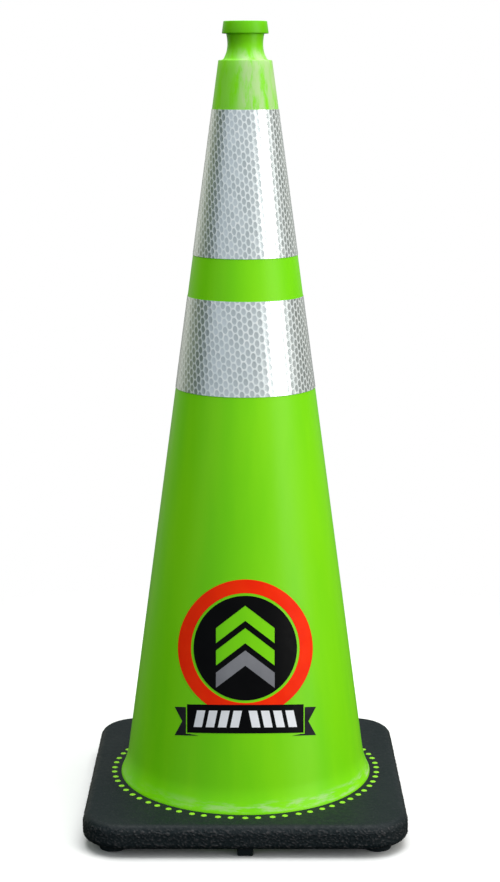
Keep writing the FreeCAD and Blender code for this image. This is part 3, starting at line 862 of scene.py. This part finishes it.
def vinyl(name, dark, light):
    """A satin film whose colour drifts between two tones."""
    material, tree, shader = new_finish(name, Specular_IOR_Level=0.08)
    patches = spread(tree, noise_at(tree, 25, detail=5), 0.3, 0.7)
    tree.links.new(blend_colours(tree, patches, dark, light), shader.inputs["Base Color"])
    satin = spread(tree, noise_at(tree, 9, detail=4), 0.35, 0.65, 0.40, 0.50)
    tree.links.new(satin, shader.inputs["Roughness"])
    peel = bump_of(tree, noise_at(tree, 1.5, detail=2), 0.010)
    tree.links.new(peel, shader.inputs["Normal"])
    return material


vinyl_films = {slot: vinyl(f"{slot}_film", *tones) for slot, tones in vinyl_tones.items()}
print("films:", [material.name for material in vinyl_films.values()])

# %% [markdown]
# ## The emblem
# The artwork is drawn flat and then pressed onto the cone from the front, so that it looks square
# to someone standing there. Each colour starts as a sheet of small faces, is scored along straight
# lines, and loses the faces that the outline leaves out. Small faces matter because the sheet has
# to bend round the cone. Sheets for the ring and the disc are spun, so their rims are truly round.

# %% Press a flat sheet onto the cone
art_tilt = math.radians(17)
art_up = Vector((0, math.sin(art_tilt), math.cos(art_tilt)))
art_out = Vector((0, -math.cos(art_tilt), math.sin(art_tilt)))
art_level = deck + 186 * mm
art_centre = Vector((0, -side_radius(art_level), art_level))
vinyl_thickness = 0.25 * mm


def press(bm):
    """Moves a flat drawing, x across and y up, along the line of sight onto the taper."""
    # A line meets a cone where a * t**2 + 2 * b * t + c = 0. Of its two meetings the front one,
    # with the larger t, is wanted.
    for vertex in bm.verts:
        start = art_centre + Vector((vertex.co.x, 0, 0)) + art_up * vertex.co.y
        a = art_out.y**2 - (taper * art_out.z) ** 2
        b = start.y * art_out.y + side_radius(start.z) * taper * art_out.z
        c = start.x**2 + start.y**2 - side_radius(start.z) ** 2
        vertex.co = start + art_out * (-b + math.sqrt(b * b - a * c)) / a


def keep_faces(bm, wanted):
    """Removes the faces whose middle a test turns down."""
    spare = [face for face in bm.faces if not wanted(*face.calc_center_median().xy)]
    bmesh.ops.delete(bm, geom=spare, context="FACES")


def score(bm, x, y, run_x, run_y):
    """Cuts the sheet's faces along the line through a point in a direction."""
    bmesh.ops.bisect_plane(
        bm, geom=bm.verts[:] + bm.edges[:] + bm.faces[:], dist=0.001 * mm,
        plane_co=(x, y, 0), plane_no=(run_y, -run_x, 0),
    )


def make_film(name, bm, slot, node):
    """Presses a flat sheet onto the cone, gives it its thickness and makes it a piece."""
    bmesh.ops.remove_doubles(bm, verts=bm.verts, dist=0.005 * mm)
    for face in bm.faces:
        if face.normal.z < 0:
            face.normal_flip()
    press(bm)
    piece = make_piece(name, bm, [node], [vinyl_films[slot]])
    thicken(piece, vinyl_thickness, offset=1)


# %% [markdown]
# The ring and the disc are each a short line spun round the artwork's centre. The ring is scored
# along the banner's top edge, where the banner covers it.

# %% Make the ring
ring_radius = 76.6 * mm
ring_inner = ring_radius - 15.2 * mm
disc_radius = ring_inner - 3.0 * mm
plate_half = 66 * mm
plate_middle = -79.4 * mm
plate_top = plate_middle + 16 * mm
plate_bottom = plate_middle - 16 * mm


def spun_sheet(inner, outer, rows, around=144):
    """A flat ring, or a disc where inner is 0."""
    bm = bmesh.new()
    line_to(bm, bm.verts.new((inner, 0, 0)), outer, 0, steps=rows)
    bmesh.ops.spin(
        bm, geom=bm.verts[:] + bm.edges[:], cent=(0, 0, 0), axis=(0, 0, 1),
        angle=2 * math.pi, steps=around, use_merge=True,
    )
    bmesh.ops.remove_doubles(bm, verts=bm.verts, dist=0.005 * mm)
    bm.normal_update()
    return bm


bm = spun_sheet(ring_inner, ring_radius, 4)
score(bm, 0, plate_top, 1, 0)
keep_faces(bm, lambda x, y: y > plate_top)
make_film("vinyl_ring", bm, "red_vinyl", "emblem_ring")

# %% [markdown]
# The disc carries three plain chevrons. The upper two are left open, so the cone's own lime shows
# through, and the lowest is filled with grey. Disc and chevron are the same scored sheet with
# opposite faces kept, so that they meet exactly.

# %% Make the disc and the chevron
chevron_half = 33 * mm
chevron_rise = 25 * mm
chevron_band = 17 * mm
chevron_pitch = 25 * mm
apexes = [1.9 * chevron_pitch - number * chevron_pitch for number in range(3)]


def chevron_number(x, y):
    """Which chevron a point is in, counted from the top, or None."""
    if abs(x) > chevron_half:
        return None
    fall = abs(x) * chevron_rise / chevron_half
    for number, apex_y in enumerate(apexes):
        if apex_y - chevron_band < y + fall < apex_y:
            return number
    return None


def scored_disc():
    """A disc of small faces, cut along the edges of all three chevrons."""
    bm = spun_sheet(0, disc_radius, 13)
    for x in (-chevron_half, 0, chevron_half):
        score(bm, x, 0, 0, 1)
    for apex_y in apexes:
        for y in (apex_y, apex_y - chevron_band):
            for side in (-1, 1):
                score(bm, 0, y, side * chevron_half, -chevron_rise)
    bm.normal_update()
    return bm


bm = scored_disc()
keep_faces(bm, lambda x, y: chevron_number(x, y) is None)
make_film("vinyl_disc", bm, "black_vinyl", "emblem_disc")
bm = scored_disc()
keep_faces(bm, lambda x, y: chevron_number(x, y) == 2)
make_film("vinyl_chevron", bm, "grey_vinyl", "emblem_chevron")

# %% [markdown]
# The banner is a plate with eight slanted bars in place of any words. Left and right mirror each
# other, so each outline is scored on both sides at once. As with the disc, plate and bars are the
# same scored sheet with opposite faces kept, and the white lies in the black without a gap.

# %% Make the banner's plate and bars
bar_height = 18.8 * mm
bar_width = 9.5 * mm
bar_pitch = 13.8 * mm
bar_slant = 4.0 * mm
bars_each_side = 4
bar_middles = [(number + 0.75) * bar_pitch for number in range(bars_each_side)]


def flat_sheet(left, right, bottom, top, step=4 * mm):
    """A flat rectangle of small faces."""
    bm = bmesh.new()
    line_to(bm, bm.verts.new((left, 0, 0)), right, 0, steps=math.ceil((right - left) / step))
    rows = math.ceil((top - bottom) / step)
    bmesh.ops.translate(bm, vec=(0, bottom, 0), verts=bm.verts)
    bmesh.ops.spin(
        bm, geom=bm.verts[:] + bm.edges[:], cent=(0, 0, 0), axis=(0, 0, 1),
        angle=0, steps=rows, dvec=(0, (top - bottom) / rows, 0),
    )
    bm.normal_update()
    return bm


def in_a_bar(x, y):
    """True inside one of the slanted bars, which lean in towards the middle as they rise."""
    lean = -(y - plate_middle) / bar_height * bar_slant
    near = any(abs(abs(x) - lean - middle) < bar_width / 2 for middle in bar_middles)
    return near and abs(y - plate_middle) < bar_height / 2


def scored_plate():
    """The banner's plate in small faces, cut along the edges of all eight bars."""
    bm = flat_sheet(-plate_half, plate_half, plate_bottom, plate_top)
    for y in (plate_middle - bar_height / 2, plate_middle + bar_height / 2):
        score(bm, 0, y, 1, 0)
    for middle in bar_middles:
        for edge in (middle - bar_width / 2, middle + bar_width / 2):
            for side in (-1, 1):
                score(bm, side * edge, plate_middle, -side * bar_slant, bar_height)
    bm.normal_update()
    return bm


bm = scored_plate()
keep_faces(bm, lambda x, y: not in_a_bar(x, y))
make_film("vinyl_plate", bm, "black_vinyl", "banner_plate")
bm = scored_plate()
keep_faces(bm, in_a_bar)
make_film("vinyl_bars", bm, "white_vinyl", "banner_bars")

# %% [markdown]
# A swallow tail shows at each end of the banner, hanging a little lower than the plate, with a
# small fold where the ribbon turns behind it. They could be four drawings, but one wide sheet does:
# it is scored along every edge, and a test says which faces belong to a tail or a fold.

# %% Make the banner's tails and folds
tail_gap = 1.4 * mm
tail_width = 13 * mm
tail_drop = 3.2 * mm
tail_notch = 8.8 * mm
tail_inner = plate_half + tail_gap
tail_outer = tail_inner + tail_width
tail_low, tail_high = plate_bottom - tail_drop, plate_top - tail_drop
tail_middle = (tail_low + tail_high) / 2
fold_inner = plate_half - tail_width
fold_top = plate_bottom - tail_gap
fold_rise = (fold_top - tail_low) / (tail_width - 2 * tail_gap)


def in_a_tail(x, y):
    """True inside a swallow tail or the fold beside it."""
    x = abs(x)
    if x > tail_inner:
        cut = abs(y - tail_middle) * tail_notch / (tail_high - tail_middle)
        return x < tail_outer - tail_notch + cut
    return y < fold_top and y < tail_low + (x - fold_inner) * fold_rise


bm = flat_sheet(-tail_outer, tail_outer, tail_low, tail_high)
score(bm, 0, fold_top, 1, 0)
for side in (-1, 1):
    score(bm, side * tail_inner, 0, 0, 1)
    score(bm, side * fold_inner, tail_low, side, fold_rise)
    for end in (tail_low, tail_high):
        score(bm, side * (tail_outer - tail_notch), tail_middle, side * tail_notch, end - tail_middle)
bm.normal_update()
keep_faces(bm, in_a_tail)
make_film("vinyl_tails", bm, "charcoal_vinyl", "banner_tails")

# %% [markdown]
# ## Floor
# The floor is a plain pale disc that catches the soft shadow round the feet. It fades away before
# its rim, so that it runs into the white background without an edge. Bounced light ignores it, as
# if the cone stood on black velvet: its underside and the base's side stay as deep as they are.

# %% Lay the floor
floor_radius = 1.1
fade_start = 0.5
fade_end = 1.0


def pale_floor():
    """Matt off-white that fades to nothing before the floor's rim."""
    material, tree, shader = new_finish("pale_floor", Roughness=0.9, Specular_IOR_Level=0.1)
    place = add_node(tree, "ShaderNodeTexCoord").outputs["Object"]
    away = add_node(tree, "ShaderNodeVectorMath", {0: place}, operation="LENGTH").outputs["Value"]
    paper = blend_colours(tree, noise_at(tree, 40), (0.86, 0.86, 0.86, 1), (0.88, 0.88, 0.88, 1))
    tree.links.new(paper, shader.inputs["Base Color"])
    tree.links.new(spread(tree, away, fade_start, fade_end, 1.0, 0.0), shader.inputs["Alpha"])
    return material


bm = bmesh.new()
bmesh.ops.create_circle(bm, cap_ends=True, segments=96, radius=floor_radius)
floor_mesh = bpy.data.meshes.new("floor")
bm.to_mesh(floor_mesh)
bm.free()
floor_mesh.materials.append(pale_floor())
floor = bpy.data.objects.new("floor", floor_mesh)
floor.location = (0, 0, foot_level)
floor.visible_diffuse = floor.visible_glossy = False
scene.collection.objects.link(floor)
print("floor radius", floor_radius)

# %% [markdown]
# ## Light
# Round glossy things show their surroundings as upright bands, so the lights are placed by what
# they should draw on the cone. A tall softbox at the front right makes the white stripe down the
# collars and the soft light on that side. A large one overhead, a little to the right, whitens the
# floor and glances off the shoulder and the foot. What is left of the room is a plain surround:
# grey in front, dark at the left, and pale again behind the left shoulder, which draws the cream
# edge of the collars.

# %% Hang the softboxes
middle = Vector((0, 0, crown / 2))


def softbox(name, azimuth, elevation, distance, size, brightness, colour=(1, 1, 1)):
    """An area light round the cone; azimuth 0 is straight in front and 90 is towards +X."""
    turn, rise = math.radians(azimuth), math.radians(elevation)
    away = Vector((math.sin(turn) * math.cos(rise), -math.cos(turn) * math.cos(rise), math.sin(rise)))
    data = bpy.data.lights.new(name, "AREA")
    data.shape = "RECTANGLE"
    data.size, data.size_y = size
    data.energy = brightness * math.pi * size[0] * size[1]
    data.color = colour
    light = bpy.data.objects.new(name, data)
    light.location = middle + away * distance
    light.rotation_mode = "QUATERNION"
    light.rotation_quaternion = away.to_track_quat("Z", "Y")
    light.visible_camera = False
    scene.collection.objects.link(light)
    print(f"{name}: {data.energy:.0f} W")


softbox("stripe", 59, 14, 1.7, (0.95, 2.2), 2.7, (1.0, 0.985, 0.95))
softbox("overhead", 90, 85, 2.2, (2.4, 2.4), 4.6)

# %% [markdown]
# The surround is a colour that changes only with direction. Seen directly it is plain white; seen
# by light that has bounced off the cone it has the darker cards that give the gloss its shape.

# %% Paint the surround
def spread_straight(tree, source, low, high):
    """Maps a range to 0..1 in a straight line."""
    return add_node(tree, "ShaderNodeMapRange", {0: source, 1: low, 2: high, 3: 0.0, 4: 1.0}).outputs[0]


def studio_surround():
    """A world that is white to the camera and a ring of coloured cards to bounced light."""
    world = bpy.data.worlds.new("studio")
    world.use_nodes = True
    tree = world.node_tree
    tree.nodes.clear()
    direction = add_node(tree, "ShaderNodeTexCoord").outputs["Generated"]
    parts = add_node(tree, "ShaderNodeSeparateXYZ", {0: direction})
    ahead = times(tree, parts.outputs["Y"], -1.0)
    azimuth = add_node(
        tree, "ShaderNodeMath", {0: parts.outputs["X"], 1: ahead}, operation="ARCTAN2"
    ).outputs[0]
    round_share = spread_straight(tree, azimuth, -math.pi, math.pi)
    cards = add_node(tree, "ShaderNodeValToRGB", {0: round_share})
    cards.color_ramp.interpolation = "EASE"
    stops = [
        (-180, (0.10, 0.12, 0.13)), (-162, (0.40, 0.41, 0.36)), (-144, (0.80, 0.80, 0.70)),
        (-120, (0.34, 0.37, 0.25)), (-102, (0.12, 0.16, 0.08)), (-78, (0.06, 0.10, 0.09)),
        (-66, (0.58, 0.64, 0.68)), (0, (0.56, 0.61, 0.63)), (80, (0.56, 0.57, 0.53)),
        (112, (0.22, 0.23, 0.19)), (150, (0.46, 0.47, 0.42)), (180, (0.26, 0.29, 0.30)),
    ]
    ramp = cards.color_ramp.elements
    while len(ramp) < len(stops):
        ramp.new(0.5)
    for element, (degrees, colour) in zip(ramp, stops):
        element.position = (degrees + 180) / 360
        element.color = (*colour, 1)
    seen_by = add_node(tree, "ShaderNodeLightPath").outputs["Is Camera Ray"]
    from_above = spread(tree, parts.outputs["Z"], -0.35, 0.02, 0.04, 1.0)
    studio = add_node(tree, "ShaderNodeBackground", {"Color": cards.outputs[0], "Strength": from_above})
    paper = add_node(tree, "ShaderNodeBackground", {"Color": (1, 1, 1, 1), "Strength": 1.0})
    both = add_node(
        tree, "ShaderNodeMixShader", {0: seen_by, 1: studio.outputs[0], 2: paper.outputs[0]}
    )
    add_node(tree, "ShaderNodeOutputWorld", {"Surface": both.outputs[0]})
    return world


scene.world = studio_surround()
scene.view_settings.view_transform = "Standard"
print("surround:", scene.world.name)
